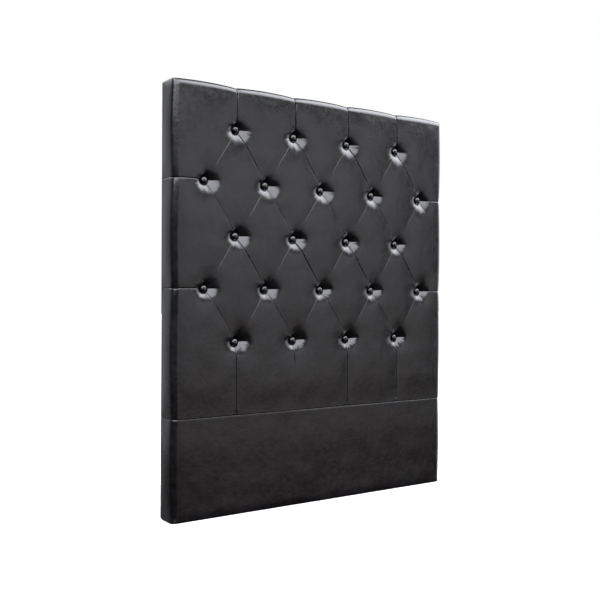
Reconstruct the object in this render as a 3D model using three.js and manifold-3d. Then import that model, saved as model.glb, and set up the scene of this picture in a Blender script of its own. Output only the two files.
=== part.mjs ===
// A diamond-tufted headboard panel. A softwood frame carries a drilled board, a foam sheet and a
// leatherette cover that rows of covered buttons pull in. Below the tufting is a plain skirt.
// The back has a dust cover and two keyhole hanging plates, and the panel stands on two foot pads.
// Millimetres. +Z is up, -Y is the padded front, and the origin is on the floor below the middle.

import * as THREE from "three";
import { mergeVertices } from "three/addons/utils/BufferGeometryUtils.js";
import Module from "manifold-3d";

const wasm = await Module();
wasm.setup();

// Overall size.
const WIDTH = 985;
const HEIGHT = 1200;
const GAP = 0.3; // left between pieces that touch
const FRONT_ROUND = 16; // radius along the padded front edges
const CORNER_ROUND = 5; // radius of the outline's four corners
const ARC_STEPS = 4;

// Thickness of each layer, from the front to the back.
const COVER = 1.2;
const FOAM = 20;
const BOARD = 8;
const FRAME_DEPTH = 40;
const DUST_COVER = 0.6;
const PLATE = 2;

// Where the layers lie along Y.
const DEPTH = COVER + FOAM + BOARD + FRAME_DEPTH + COVER + DUST_COVER + PLATE + 6 * GAP;
const FRONT = -DEPTH / 2;
const FOAM_BACK = FRONT + COVER + GAP + FOAM;
const BOARD_FRONT = FOAM_BACK + GAP;
const BOARD_BACK = BOARD_FRONT + BOARD;
const FRAME_FRONT = BOARD_BACK + GAP;
const FRAME_BACK = FRAME_FRONT + FRAME_DEPTH;
const FLANGE_FRONT = FRAME_BACK + GAP;
const FLANGE_BACK = FLANGE_FRONT + COVER;
const DUST_FRONT = FLANGE_BACK + GAP;
const DUST_BACK = DUST_FRONT + DUST_COVER;
const PLATE_FRONT = DUST_BACK + GAP;
const PLATE_BACK = PLATE_FRONT + PLATE;

// The skirt below the tufting.
const SEAM_Z = 281;
const SKIRT_DROP = 4; // how far the skirt's face lies behind the tufted face
const FLANGE_WIDTH = 20; // the cover's turn onto the back
const DUST_INSET = 10; // from the outline to the dust cover's edge

// The tufting grid, from the top row down.
const BUTTONS_IN_ROW = [4, 5, 4, 5, 4];
const COLUMN_PITCH = WIDTH / 5;
const ROW_PITCH = 149.5;
const TOP_ROW_Z = HEIGHT - 117;
const BUTTON_RADIUS = 11;
const BUTTON_HEIGHT = 8;
const EYE_RADIUS = 2.2;
const EYE_LENGTH = 4;
const TWINE_RADIUS = 1.25;
const PIT_MOUTH = 40;
const PIT_FLOOR = 14;
const PIT_DEPTH = 15;
const ROUND_SIDES = 10;
const SMALL_SIDES = 8;

// The frame's battens.
const BATTEN = 45;
const OUTER = COVER + GAP; // from the outline to the frame and the board
const MIDDLE_RAIL_Z = TOP_ROW_Z - 2.5 * ROW_PITCH; // between two rows of twine
const CORNER_BLOCK = 60;
const CORNER_BLOCK_DEPTH = 24;

// Foot pads.
const FOOT = 3;
const FOOT_WIDTH = 40;
const FOOT_DEPTH = 60;

// Keyhole hanging plates.
const PLATE_X = 300;
const PLATE_WIDTH = 64;
const PLATE_HEIGHT = 30;
const PLATE_ROUND = 4;
const KEYHOLE_RADIUS = 5;
const SLOT_RADIUS = 2.5;
const KEYHOLE_DROP = 6; // from the plate's middle down to the keyhole's round end
const SLOT_RISE = 3; // from the plate's middle up to the middle of the slot's round end
const PLATE_DROP = 7; // the plates' middle lies this far below the top rail's
const POCKET = { width: 14, below: 7, above: 4, depth: 9 };
const SCREW_SPACING = 46;
const SCREW = { head: 4, shank: 2, length: 24, countersink: 2 };
const HOLE_CLEARANCE = 0.4;

const RAIL_Z = {
  top_rail: HEIGHT - OUTER - BATTEN / 2,
  middle_rail: MIDDLE_RAIL_Z,
  skirt_rail: SEAM_Z,
  bottom_rail: FOOT + OUTER + BATTEN / 2,
};

const MATERIALS = {
  leatherette: new THREE.MeshStandardMaterial({ color: 0x1c1b1d, roughness: 0.38 }),
  softwood: new THREE.MeshStandardMaterial({ color: 0xc9a878, roughness: 0.8 }),
  board: new THREE.MeshStandardMaterial({ color: 0x9c7a52, roughness: 0.85 }),
  foam: new THREE.MeshStandardMaterial({ color: 0xe8e2cf, roughness: 0.95 }),
  dust_cloth: new THREE.MeshStandardMaterial({ color: 0x161616, roughness: 0.95 }),
  twine: new THREE.MeshStandardMaterial({ color: 0xd9d2c0, roughness: 0.9 }),
  steel: new THREE.MeshStandardMaterial({ color: 0xb8bcc0, roughness: 0.35, metalness: 1 }),
  foot: new THREE.MeshStandardMaterial({ color: 0x242424, roughness: 0.7 }),
};

// Which world axes a shape's own x, y and extrusion direction follow, for a prism along each axis.
const PRISM_AXES = {
  x: [new THREE.Vector3(0, 1, 0), new THREE.Vector3(0, 0, 1), new THREE.Vector3(1, 0, 0)],
  y: [new THREE.Vector3(1, 0, 0), new THREE.Vector3(0, 0, 1), new THREE.Vector3(0, -1, 0)],
};

// A closed geometry as a solid that can be joined and cut.
function solidOf(geometry) {
  const bare = geometry.clone();
  bare.deleteAttribute("normal");
  bare.deleteAttribute("uv");
  const merged = mergeVertices(bare, 1e-3);
  return new wasm.Manifold(
    new wasm.Mesh({
      numProp: 3,
      vertProperties: merged.attributes.position.array,
      triVerts: new Uint32Array(merged.index.array),
    }),
  );
}

// The geometry of a solid.
function geometryOf(solid) {
  const made = solid.getMesh();
  const geometry = new THREE.BufferGeometry();
  geometry.setAttribute("position", new THREE.BufferAttribute(made.vertProperties, 3));
  geometry.setIndex(new THREE.BufferAttribute(made.triVerts, 1));
  geometry.computeVertexNormals();
  return geometry;
}

function joined(solids) {
  return solids.reduce((whole, piece) => whole.add(piece));
}

function box(low, high) {
  const size = high.map((value, i) => value - low[i]);
  const middle = high.map((value, i) => (value + low[i]) / 2);
  return solidOf(new THREE.BoxGeometry(...size).translate(...middle));
}

// A shape drawn in the plane across `axis` and extruded along it, from one place to another.
function prism(shape, axis, from, to) {
  const geometry = new THREE.ExtrudeGeometry(shape, {
    depth: to - from,
    bevelEnabled: false,
    curveSegments: ARC_STEPS,
  });
  const place = new THREE.Matrix4().makeBasis(...PRISM_AXES[axis]);
  place.setPosition(axis === "x" ? from : 0, axis === "y" ? to : 0, 0);
  return solidOf(geometry.applyMatrix4(place));
}

// A body of revolution about a line along Y. The profile runs from its lowest y to its highest.
function turned(profile, sides) {
  const points = profile.map(([radius, y]) => new THREE.Vector2(radius, y));
  return new THREE.LatheGeometry(points, sides);
}

function rod(x, z, radius, from, to) {
  const profile = [[0, from], [radius, from], [radius, to], [0, to]];
  return solidOf(turned(profile, SMALL_SIDES).translate(x, 0, z));
}

// A rectangle whose corners each have a radius of their own, from the low-low corner round.
function roundedRect(x0, x1, y0, y1, [lowLow, highLow, highHigh, lowHigh]) {
  const shape = new THREE.Shape();
  shape.moveTo(x0 + lowLow, y0);
  const corner = (cx, cy, radius, start) => {
    if (radius > 0) {
      shape.absarc(cx, cy, radius, start, start + Math.PI / 2, false);
    } else {
      shape.lineTo(cx, cy);
    }
  };
  corner(x1 - highLow, y0 + highLow, highLow, -Math.PI / 2);
  corner(x1 - highHigh, y1 - highHigh, highHigh, 0);
  corner(x0 + lowHigh, y1 - lowHigh, lowHigh, Math.PI / 2);
  corner(x0 + lowLow, y0 + lowLow, lowLow, Math.PI);
  return shape;
}

// The space inside the upholstered outline: `inset` in from its sides, and from `front` to `back`.
function envelope(inset, front, back) {
  const side = WIDTH / 2 - inset;
  const low = FOOT + inset;
  const high = HEIGHT - inset;
  const corner = CORNER_ROUND - inset;
  const edge = FRONT_ROUND - inset;
  const outline = roundedRect(-side, side, low, high, [corner, corner, corner, corner]);
  const profile = roundedRect(front, back, low, high, [edge, 0, 0, edge]);
  const plan = new THREE.Shape();
  plan.moveTo(side, back);
  plan.lineTo(-side, back);
  plan.lineTo(-side, front + edge);
  plan.absarc(-side + edge, front + edge, edge, Math.PI, 1.5 * Math.PI, false);
  plan.absarc(side - edge, front + edge, edge, 1.5 * Math.PI, 2 * Math.PI, false);
  const column = new THREE.ExtrudeGeometry(plan, {
    depth: high - low,
    bevelEnabled: false,
    curveSegments: ARC_STEPS,
  }).translate(0, 0, low);
  return prism(outline, "y", front, back)
    .intersect(prism(profile, "x", -side, side))
    .intersect(solidOf(column));
}

// Every button's place, row by row from the top.
const ROWS = BUTTONS_IN_ROW.map((count, row) => ({
  z: TOP_ROW_Z - row * ROW_PITCH,
  columns: Array.from({ length: count }, (_, i) => (i - (count - 1) / 2) * COLUMN_PITCH),
}));
const BUTTON_PLACES = ROWS.flatMap(({ z, columns }) => columns.map((x) => [x, z]));

// The dished hollows round the buttons, grown by `offset` into the padding.
function pits(offset) {
  const slant = Math.hypot(PIT_MOUTH - PIT_FLOOR, PIT_DEPTH);
  const spread = (offset * slant) / PIT_DEPTH;
  const rise = 1; // the cone carries on past the face that it cuts
  const flare = (rise * (PIT_MOUTH - PIT_FLOOR)) / PIT_DEPTH;
  const floorSpread = spread - (offset * (PIT_MOUTH - PIT_FLOOR)) / PIT_DEPTH;
  const profile = [
    [0, FRONT - rise],
    [PIT_MOUTH + spread + flare, FRONT - rise],
    [PIT_FLOOR + floorSpread, FRONT + PIT_DEPTH + offset],
    [0, FRONT + PIT_DEPTH + offset],
  ];
  const cone = turned(profile, ROUND_SIDES);
  return joined(BUTTON_PLACES.map(([x, z]) => solidOf(cone.clone().translate(x, 0, z))));
}

function holesAtButtons(radius, from, to) {
  return joined(BUTTON_PLACES.map(([x, z]) => rod(x, z, radius, from, to)));
}

// The slice of the panel between two heights.
function between(lowZ, highZ) {
  return box([-WIDTH, -DEPTH, lowZ], [WIDTH, DEPTH, highZ]);
}

const ABOVE_SEAM = between(SEAM_Z + GAP / 2, HEIGHT + 1);
const BELOW_SEAM = between(-1, SEAM_Z - GAP / 2);

// One cover: a skin over the front, the sides and the end, with a flange turned onto the back.
function coverShell(front) {
  const skin = envelope(0, front, FLANGE_BACK);
  const hollow = envelope(COVER, front + COVER, FLANGE_FRONT);
  const windowX = WIDTH / 2 - FLANGE_WIDTH;
  const window = box(
    [-windowX, FLANGE_FRONT - 1, FOOT + FLANGE_WIDTH],
    [windowX, FLANGE_BACK + 1, HEIGHT - FLANGE_WIDTH],
  );
  return { skin: skin.subtract(window), hollow };
}

function tuftedCover() {
  const { skin, hollow } = coverShell(FRONT);
  return skin
    .subtract(pits(0))
    .subtract(hollow.subtract(pits(COVER)))
    .intersect(ABOVE_SEAM)
    .subtract(holesAtButtons(EYE_RADIUS + GAP, FRONT, FOAM_BACK));
}

function skirtCover() {
  const { skin, hollow } = coverShell(FRONT + SKIRT_DROP);
  return skin.subtract(hollow).intersect(BELOW_SEAM);
}

function tuftedFoam() {
  return envelope(OUTER, FRONT + OUTER, FOAM_BACK)
    .subtract(pits(OUTER))
    .intersect(ABOVE_SEAM)
    .subtract(holesAtButtons(EYE_RADIUS + GAP, FRONT, FOAM_BACK + 1));
}

function skirtFoam() {
  return envelope(OUTER, FRONT + SKIRT_DROP + OUTER, FOAM_BACK).intersect(BELOW_SEAM);
}

// A flat sheet or a batten inside the outline, which rounds its outer corners.
function insideOutline(low, high) {
  return envelope(OUTER, FRONT, PLATE_BACK).intersect(box(low, high));
}

function frontBoard() {
  const sheet = insideOutline([-WIDTH, BOARD_FRONT, 0], [WIDTH, BOARD_BACK, HEIGHT]);
  const drillRadius = 2 * TWINE_RADIUS;
  return sheet.subtract(holesAtButtons(drillRadius, BOARD_FRONT - 1, BOARD_BACK + 1));
}

const INSIDE_STILE = WIDTH / 2 - OUTER - BATTEN; // from the middle to a stile's inner face

function stile(side) {
  const inner = side * INSIDE_STILE;
  const outer = side * WIDTH;
  return insideOutline(
    [Math.min(inner, outer), FRAME_FRONT, 0],
    [Math.max(inner, outer), FRAME_BACK, HEIGHT],
  );
}

function rail(z) {
  const reach = INSIDE_STILE - GAP;
  return box(
    [-reach, FRAME_FRONT, z - BATTEN / 2],
    [reach, FRAME_BACK, z + BATTEN / 2],
  );
}

const PLATE_Z = RAIL_Z.top_rail - PLATE_DROP;
const SCREW_PLACES = [-1, 1].flatMap((side) =>
  [-1, 1].map((end) => ({ side, end, x: side * PLATE_X + (end * SCREW_SPACING) / 2 })),
);

// The top rail, routed behind each keyhole and bored for the plates' screws.
function topRail() {
  const pockets = [-1, 1].map((side) =>
    box(
      [
        side * PLATE_X - POCKET.width / 2,
        FRAME_BACK - POCKET.depth,
        PLATE_Z - KEYHOLE_DROP - POCKET.below,
      ],
      [side * PLATE_X + POCKET.width / 2, FRAME_BACK + 1, PLATE_Z + SLOT_RISE + SLOT_RADIUS + POCKET.above],
    ),
  );
  const screwEnd = PLATE_BACK - SCREW.length - GAP;
  const bores = SCREW_PLACES.map(({ x }) =>
    rod(x, PLATE_Z, SCREW.shank + HOLE_CLEARANCE, screwEnd, FRAME_BACK + 1),
  );
  return rail(RAIL_Z.top_rail).subtract(joined([...pockets, ...bores]));
}

// The short upright between the bottom rail and the skirt rail.
function skirtPost() {
  return box(
    [-BATTEN / 2, FRAME_FRONT, RAIL_Z.bottom_rail + BATTEN / 2 + GAP],
    [BATTEN / 2, FRAME_BACK, RAIL_Z.skirt_rail - BATTEN / 2 - GAP],
  );
}

// A three-cornered glue block, with its square corner at the origin.
function cornerBlock() {
  const shape = new THREE.Shape();
  shape.moveTo(0, 0);
  shape.lineTo(CORNER_BLOCK, 0);
  shape.lineTo(0, CORNER_BLOCK);
  return new THREE.ExtrudeGeometry(shape, {
    depth: CORNER_BLOCK_DEPTH,
    bevelEnabled: false,
  });
}

// Four glue blocks, each turned into its own corner of the frame.
function cornerBlocks() {
  const reach = INSIDE_STILE - GAP;
  const low = RAIL_Z.bottom_rail + BATTEN / 2 + GAP;
  const high = RAIL_Z.top_rail - BATTEN / 2 - GAP;
  const places = {
    corner_block_lower_left: [-reach, low, 0],
    corner_block_lower_right: [reach, low, 1],
    corner_block_upper_right: [reach, high, 2],
    corner_block_upper_left: [-reach, high, 3],
  };
  return Object.entries(places).map(([name, [x, z, quarterTurns]]) => {
    const mesh = new THREE.Mesh(cornerBlock(), MATERIALS.softwood);
    mesh.name = name;
    mesh.rotation.set(Math.PI / 2, 0, 0);
    mesh.rotateZ((quarterTurns * Math.PI) / 2);
    mesh.position.set(x, (FRAME_FRONT + FRAME_BACK + CORNER_BLOCK_DEPTH) / 2, z);
    return mesh;
  });
}

// A covered button: a dome over a crimped back plate, with the eye that its twine ties to.
// Its own y is 0 under the plate, and the dome stands towards -Y.
function button() {
  const rim = 2.2;
  const dome = BUTTON_HEIGHT - rim;
  const arc = Array.from({ length: 4 }, (_, i) => {
    const angle = ((i + 1) / 5) * (Math.PI / 2);
    return [BUTTON_RADIUS * Math.sin(angle), -rim - dome * Math.cos(angle)];
  });
  const profile = [
    [0, -BUTTON_HEIGHT],
    ...arc,
    [BUTTON_RADIUS, -rim],
    [BUTTON_RADIUS - 1.5, 0],
    [EYE_RADIUS, 0],
    [EYE_RADIUS, EYE_LENGTH],
    [0, EYE_LENGTH],
  ];
  return turned(profile, ROUND_SIDES);
}

const BUTTON_SEAT = FRONT + PIT_DEPTH - GAP; // where the buttons' back plates lie

function buttons() {
  const geometry = button();
  return ROWS.flatMap(({ z, columns }, row) =>
    columns.map((x, column) => {
      const mesh = new THREE.Mesh(geometry, MATERIALS.leatherette);
      mesh.name = `button_row${row + 1}_${column + 1}`;
      mesh.position.set(x, BUTTON_SEAT, z);
      return mesh;
    }),
  );
}

// One row's twine: along the back of the board, and through it to each button's eye.
function rowTwine({ z, columns }) {
  const runY = BOARD_BACK + GAP + TWINE_RADIUS;
  const start = BUTTON_SEAT + EYE_LENGTH + GAP;
  const legs = columns.map((x) => rod(x, z, TWINE_RADIUS, start, runY));
  const length = columns.at(-1) - columns[0] + 2 * TWINE_RADIUS;
  const run = new THREE.CylinderGeometry(TWINE_RADIUS, TWINE_RADIUS, length, SMALL_SIDES)
    .rotateZ(Math.PI / 2)
    .translate(0, runY, z);
  return joined([solidOf(run), ...legs]);
}

// The cloth over the back, open at each keyhole and each screw.
function dustCover() {
  const sheet = box(
    [-WIDTH / 2 + DUST_INSET, DUST_FRONT, FOOT + DUST_INSET],
    [WIDTH / 2 - DUST_INSET, DUST_BACK, HEIGHT - DUST_INSET],
  );
  const windows = [-1, 1].map((side) =>
    box(
      [
        side * PLATE_X - POCKET.width / 2,
        DUST_FRONT - 1,
        PLATE_Z - KEYHOLE_DROP - POCKET.below,
      ],
      [side * PLATE_X + POCKET.width / 2, DUST_BACK + 1, PLATE_Z + SLOT_RISE + SLOT_RADIUS + POCKET.above],
    ),
  );
  const bores = SCREW_PLACES.map(({ x }) =>
    rod(x, PLATE_Z, SCREW.shank + HOLE_CLEARANCE, DUST_FRONT - 1, DUST_BACK + 1),
  );
  return sheet.subtract(joined([...windows, ...bores]));
}

// A hanging plate about its own middle, with its keyhole and two countersunk screw holes.
function hangingPlate() {
  const outline = roundedRect(
    -PLATE_WIDTH / 2,
    PLATE_WIDTH / 2,
    -PLATE_HEIGHT / 2,
    PLATE_HEIGHT / 2,
    [PLATE_ROUND, PLATE_ROUND, PLATE_ROUND, PLATE_ROUND],
  );
  const neck = Math.asin(SLOT_RADIUS / KEYHOLE_RADIUS);
  const keyhole = new THREE.Path();
  keyhole.absarc(0, SLOT_RISE, SLOT_RADIUS, 0, Math.PI, false);
  keyhole.absarc(0, -KEYHOLE_DROP, KEYHOLE_RADIUS, Math.PI / 2 + neck, 2.5 * Math.PI - neck, false);
  outline.holes.push(keyhole);
  const blank = prism(outline, "y", PLATE_FRONT, PLATE_BACK);
  const wide = SCREW.head + HOLE_CLEARANCE;
  const narrow = SCREW.shank + HOLE_CLEARANCE;
  const profile = [
    [0, PLATE_FRONT - 1],
    [narrow, PLATE_FRONT - 1],
    [narrow, PLATE_BACK - SCREW.countersink],
    [wide, PLATE_BACK],
    [wide, PLATE_BACK + 1],
    [0, PLATE_BACK + 1],
  ];
  const sinks = [-1, 1].map((end) =>
    solidOf(turned(profile, SMALL_SIDES).translate((end * SCREW_SPACING) / 2, 0, 0)),
  );
  return blank.subtract(joined(sinks));
}

// A countersunk screw about its own axis, with its head just below the plate's face.
function plateScrew() {
  const head = PLATE_BACK - 0.1;
  const profile = [
    [0, PLATE_BACK - SCREW.length],
    [SCREW.shank, PLATE_BACK - SCREW.length + SCREW.shank],
    [SCREW.shank, head - SCREW.countersink],
    [SCREW.head, head],
    [0, head],
  ];
  return turned(profile, SMALL_SIDES);
}

function pieceOf(name, solid, material, x = 0, z = 0) {
  const mesh = new THREE.Mesh(solid.isBufferGeometry ? solid : geometryOf(solid), material);
  mesh.name = name;
  mesh.position.set(x, 0, z);
  return mesh;
}

function frameGroup() {
  const group = new THREE.Group();
  const { softwood } = MATERIALS;
  group.add(
    pieceOf("left_stile", stile(-1), softwood),
    pieceOf("right_stile", stile(1), softwood),
    pieceOf("top_rail", topRail(), softwood),
    pieceOf("middle_rail", rail(RAIL_Z.middle_rail), softwood),
    pieceOf("skirt_rail", rail(RAIL_Z.skirt_rail), softwood),
    pieceOf("bottom_rail", rail(RAIL_Z.bottom_rail), softwood),
    pieceOf("skirt_post", skirtPost(), softwood),
    ...cornerBlocks(),
    pieceOf("front_board", frontBoard(), MATERIALS.board),
  );
  return group;
}

function upholsteryGroup() {
  const group = new THREE.Group();
  group.add(
    pieceOf("tufted_foam", tuftedFoam(), MATERIALS.foam),
    pieceOf("skirt_foam", skirtFoam(), MATERIALS.foam),
    pieceOf("tufted_cover", tuftedCover(), MATERIALS.leatherette),
    pieceOf("skirt_cover", skirtCover(), MATERIALS.leatherette),
    pieceOf("dust_cover", dustCover(), MATERIALS.dust_cloth),
  );
  return group;
}

function tuftingGroup() {
  const group = new THREE.Group();
  const twines = ROWS.map((row, i) => pieceOf(`twine_row${i + 1}`, rowTwine(row), MATERIALS.twine));
  group.add(...buttons(), ...twines);
  return group;
}

function hardwareGroup() {
  const group = new THREE.Group();
  const plate = geometryOf(hangingPlate());
  const screw = plateScrew();
  const sides = { [-1]: "left", 1: "right" };
  const ends = { [-1]: "outer", 1: "inner" };
  for (const side of [-1, 1]) {
    group.add(pieceOf(`${sides[side]}_hanging_plate`, plate, MATERIALS.steel, side * PLATE_X, PLATE_Z));
    const foot = new THREE.BoxGeometry(FOOT_WIDTH, FOOT_DEPTH, FOOT - GAP);
    const pad = pieceOf(`${sides[side]}_foot_pad`, foot, MATERIALS.foot);
    const footY = FLANGE_BACK - FOOT_DEPTH / 2;
    pad.position.set(side * (WIDTH / 2 - OUTER - BATTEN / 2), footY, (FOOT - GAP) / 2);
    group.add(pad);
  }
  for (const { side, end, x } of SCREW_PLACES) {
    const name = `${sides[side]}_plate_${ends[side * -end]}_screw`;
    group.add(pieceOf(name, screw, MATERIALS.steel, x, PLATE_Z));
  }
  return group;
}

const headboard = new THREE.Group();
headboard.add(frameGroup(), upholsteryGroup(), tuftingGroup(), hardwareGroup());

export default headboard;
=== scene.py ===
# The looks of a tufted headboard: glossy faux leather stretched over foam and pulled in by rows of
# covered buttons, a plain skirt below a seam, and a cloth back with staples and hanging plates.

from dataclasses import dataclass, field
from math import atan2, copysign, cos, exp, hypot, pi, radians, remainder, sin, sqrt, tau

import bpy
import numpy as np
from mathutils import Matrix, Vector
from mathutils.geometry import delaunay_2d_cdt


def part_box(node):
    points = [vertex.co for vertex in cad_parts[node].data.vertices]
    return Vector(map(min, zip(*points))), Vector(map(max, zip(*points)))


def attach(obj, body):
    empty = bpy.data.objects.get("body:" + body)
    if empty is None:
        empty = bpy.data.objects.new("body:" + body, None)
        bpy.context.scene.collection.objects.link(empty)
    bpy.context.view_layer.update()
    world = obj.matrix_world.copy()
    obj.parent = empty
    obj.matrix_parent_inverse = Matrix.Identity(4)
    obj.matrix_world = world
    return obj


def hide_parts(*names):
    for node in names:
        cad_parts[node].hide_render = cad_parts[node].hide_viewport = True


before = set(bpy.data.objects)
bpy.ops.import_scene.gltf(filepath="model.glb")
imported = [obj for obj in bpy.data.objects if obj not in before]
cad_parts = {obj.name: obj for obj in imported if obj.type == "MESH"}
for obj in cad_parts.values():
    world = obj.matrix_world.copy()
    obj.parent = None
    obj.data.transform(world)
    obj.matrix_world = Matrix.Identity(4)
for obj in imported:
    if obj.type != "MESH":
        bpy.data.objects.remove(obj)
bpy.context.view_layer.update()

MM = 0.001
BODY = "root"
SEED = 7

# The camera, from the photograph's perspective.
CAMERA_PLACE = (-1.474, -2.067, 0.606)
CAMERA_YAW = radians(-34.5)
CAMERA_PITCH = radians(-0.03)
CAMERA_ROLL = radians(0.27)
CAMERA_LENS = 50.01

# The studio. The horizon's colours go by height, from straight down at 0 to straight up at 1. They are dim
# except round one azimuth, where they rise between two cosines. Each soft box is a disc of sky: azimuth,
# elevation, reach and softness in degrees, its lower edge's height and softness, and its radiance.
HORIZON = (
    (0.18, (0.055, 0.044, 0.036)), (0.33, (0.13, 0.102, 0.085)), (0.39, (0.22, 0.18, 0.157)),
    (0.45, (0.56, 0.52, 0.51)), (0.52, (0.80, 0.795, 0.83)), (0.55, (0.75, 0.75, 0.8)),
    (0.58, (1.28, 1.28, 1.4)), (0.596, (1.45, 1.45, 1.6)), (0.613, (0.6, 0.6, 0.65)),
    (1.0, (0.5, 0.5, 0.55)),
)
BRIGHT_AZIMUTH = -60
BRIGHT_REACH = (0.935, 0.985)
DIM_SHARE = 0.15
SOFT_BOXES = (
    (-115, 38, 42, 3, 0.28, 0.03, 5.4),
    (-24, 42, 24, 10, 0.26, 0.08, 7.4),
    (9, 0, 40, 9, -0.25, 0.2, 1.6),
    (125, -15, 50, 12, -0.7, 0.2, 0.13),
    (-70, 62, 30, 8, 0.3, 0.1, 1.7),
    (130, 0, 36, 10, -0.151, 0.004, 0.42),
    (125, 55, 36, 10, 0.35, 0.1, 3.2),
)
BOX_COLOUR = (0.97, 0.99, 1.06)

# The covers' rounded edges and turned-in ends.
EDGE_ROUND = 18 * MM
INNER_CORNER = 4 * MM  # the outline's corner radius where the front's flat ends
OUTER_CORNER = 7 * MM
BACK_ROUND = 1.5 * MM
FLANGE = 20 * MM
SEAM_TUCK = 7 * MM
SIDE_SEAM_DROP = 1.6 * MM
ARC_STEPS = 9
SIDE_STEPS = 9
CORNER_STEPS = 8

# The tufting. A pit is a steep throat round its button, then a hollow that fades outwards. To the lower
# right the leatherette is drawn straight instead, as a flat facet with a crisp rim, and a short fold runs
# along that facet's upper side.
PIT_THROAT = 13.2 * MM
PIT_FLOOR_RADIUS = 10.8 * MM
PIT_FLOOR_DEPTH = 16.5 * MM
PIT_DEPTH = 11 * MM  # where the throat begins
PIT_FADE = 11 * MM
FADE_ABOVE = 0.5  # the share of that fade above a button, where a broad hollow goes on instead
FADE_LEFT = 0.28  # and how much less it is again to the upper left
HOLLOW_DEPTH = 3.3 * MM
HOLLOW_FADE = 27 * MM
FACET_RADIUS = 45 * MM
FACET_SLOPE = 0.30
FACET_SOFTNESS = 1.6 * MM
FOLD_DEPTH = (1.0 * MM, 3.4 * MM)  # in the top row and in the bottom row
FOLD_WIDTH = (12 * MM, 19 * MM)
FOLD_UNDER = 0.6  # its width below, as a share
FOLD_RISE = (9 * MM, 18 * MM)  # where it deepens, from the button's middle
FOLD_FALL = (22 * MM, 49 * MM)  # and where it fades
FACET_LIFT = 15 * MM  # how far above its button a bottom-row facet points
WRINKLE = 0.12 * MM
WRINKLE_FOLDS = (7, 11, 17, 26)  # how many fine folds run out from a button, at each size
WRINKLE_START = 13 * MM
WRINKLE_RISE = 8 * MM
WRINKLE_MIDDLE = 24 * MM
WRINKLE_SPREAD = 17 * MM
WRINKLE_STRAIGHT = 20 * MM  # where they lean neither way
VALLEY_WIDTH = 11 * MM
VALLEY_DEPTH = 0.5 * MM  # along the middle of a pleat
VALLEY_AT_BUTTON = 1.2 * MM
VALLEY_FADE = 20 * MM  # over which it changes from one depth to the other
VALLEY_EDGE_FADE = 25 * MM  # and over which it does so towards an edge
EDGE_PULL = 3.6 * MM  # where a pleat goes over an edge
FRONT_PULL = 1.1 * MM  # and where it comes to that edge
GROOVE_WIDTH = 2.1 * MM  # the side that shows, which faces left
GROOVE_TUCK = 0.6 * MM  # the other side, which is nearly square to the front
GROOVE_ROLL = 6 * MM  # the lower side of a level groove
GROOVE_DEPTH = 3.4 * MM
GROOVE_FINEST = 0.35  # a faint groove's width, as a share
GROOVE_SHORT_FADE = 12 * MM  # past the end of a pleat that fades early
GROOVE_TO_BUTTON = (18 * MM, 90 * MM)  # above a button, over which the groove that comes down to it fades
GROOVE_HALVES = (50 * MM, 140 * MM)  # below a button, over which the groove that leaves it halves
PLEAT_BOW = 2.6 * MM
FALLING_RIGHT = (1.0, 0.5)  # from here on, how strong a groove is: between the rows, in turn from the top
FALLING_LEFT = 0.15
OVER_TOP = 1.45
TO_LEFT = 0.5
TO_RIGHT = 0.28
TO_SEAM = 0.9
SHORT_ONE = 1  # the pleat below the bottom row that fades early
SHORT_SHOWN = 0.25
SEAM_EASE = 90 * MM  # over which the bulge dies away towards the seam
SIDE_BULGE = 5.5 * MM
END_SWELL = 3 * MM  # how far the stuffed top stands above its board
SKIRT_SWELL = 2.6 * MM  # how far the stuffed skirt stands forward
SIDE_HOLD = 0.22  # the share of the pull that is left where the frame lies close behind the cover
BOARD_SHARE = 0.28  # how far back the board begins, as a share of the cover's depth
MOTTLE = 0.12 * MM  # slight waves all over the stretched leatherette
MOTTLE_EDGE = 20 * MM  # over which they die away towards an edge

# How finely the covers are meshed, as distances from a pleat, a button or the seam.
PLEAT_ROWS = [0, 0.6, 1.2, 1.9, 3.0, 4.6, 6.6]
PIT_RINGS = [3, 6.5, 9, 10.1, 10.8, 11.4, 12, 12.6, 13.2, 14.2, 15.6, 17.6, 20, 23, 26.4, 30, 33.6, 37]
PIT_RINGS += [40.2, 43, 44.6, 45.6, 47.4]
SEAM_ROWS = [0, 0.5, 1.1, 1.9, 2.9, 4.2, 6, 8.5]
PLEAT_STEP = 3.2 * MM
RING_STEP = 2.6 * MM
OPEN_STEP = 7 * MM
SEAM_STEP = 5 * MM

# The back's cloth, its staples and its windows, which lie about each hanging plate's middle.
CLOTH_GRID = 9 * MM
CLOTH_SINK = 3.6 * MM
HEM = 12 * MM
HEM_RISE = 0.45 * MM
SCALLOP = 1.3 * MM
STAPLE_PITCH = 48 * MM
WINDOW_HALF = 7 * MM
WINDOW_SPAN = (-13 * MM, 9.5 * MM)

# The staples' run along the cloth and their wire's section, each (along or beside, out), in millimetres.
STAPLE_PATH = [(-5, -1.4), (-5, -0.1), (-4.8, 0.25), (-4.3, 0.45)]
STAPLE_PATH += [(-along, out) for along, out in reversed(STAPLE_PATH)]
STAPLE_WIRE = [(-0.6, 0.2), (-0.45, 0.3), (0.45, 0.3), (0.6, 0.2), (0.6, -0.2), (-0.6, -0.2)]

# The buttons and the screws.
BUTTON_HEIGHT = 8 * MM
BUTTON_SIDES = 72
BUTTON_FOLDS = 18
SCREW_SIDES = 64
SCREW_RINGS = 14
THREAD_PITCH = 1.8 * MM
SCREW_THREAD = ((0.72, 0), (0.72, 0.55), (1, 0.75))  # one turn, as shares of the shank and the pitch

# The cloth simulation.
CLOTH_STEP = 8 * MM
CLOTH_FRAMES = 18
CLOTH_SETTINGS = {
    "quality": 6, "mass": 0.3, "tension_stiffness": 15, "compression_stiffness": 15, "shear_stiffness": 8,
    "bending_stiffness": 1.5, "vertex_group_mass": "pins", "use_pressure": True,
    "uniform_pressure_force": 4.0,
}


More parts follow.
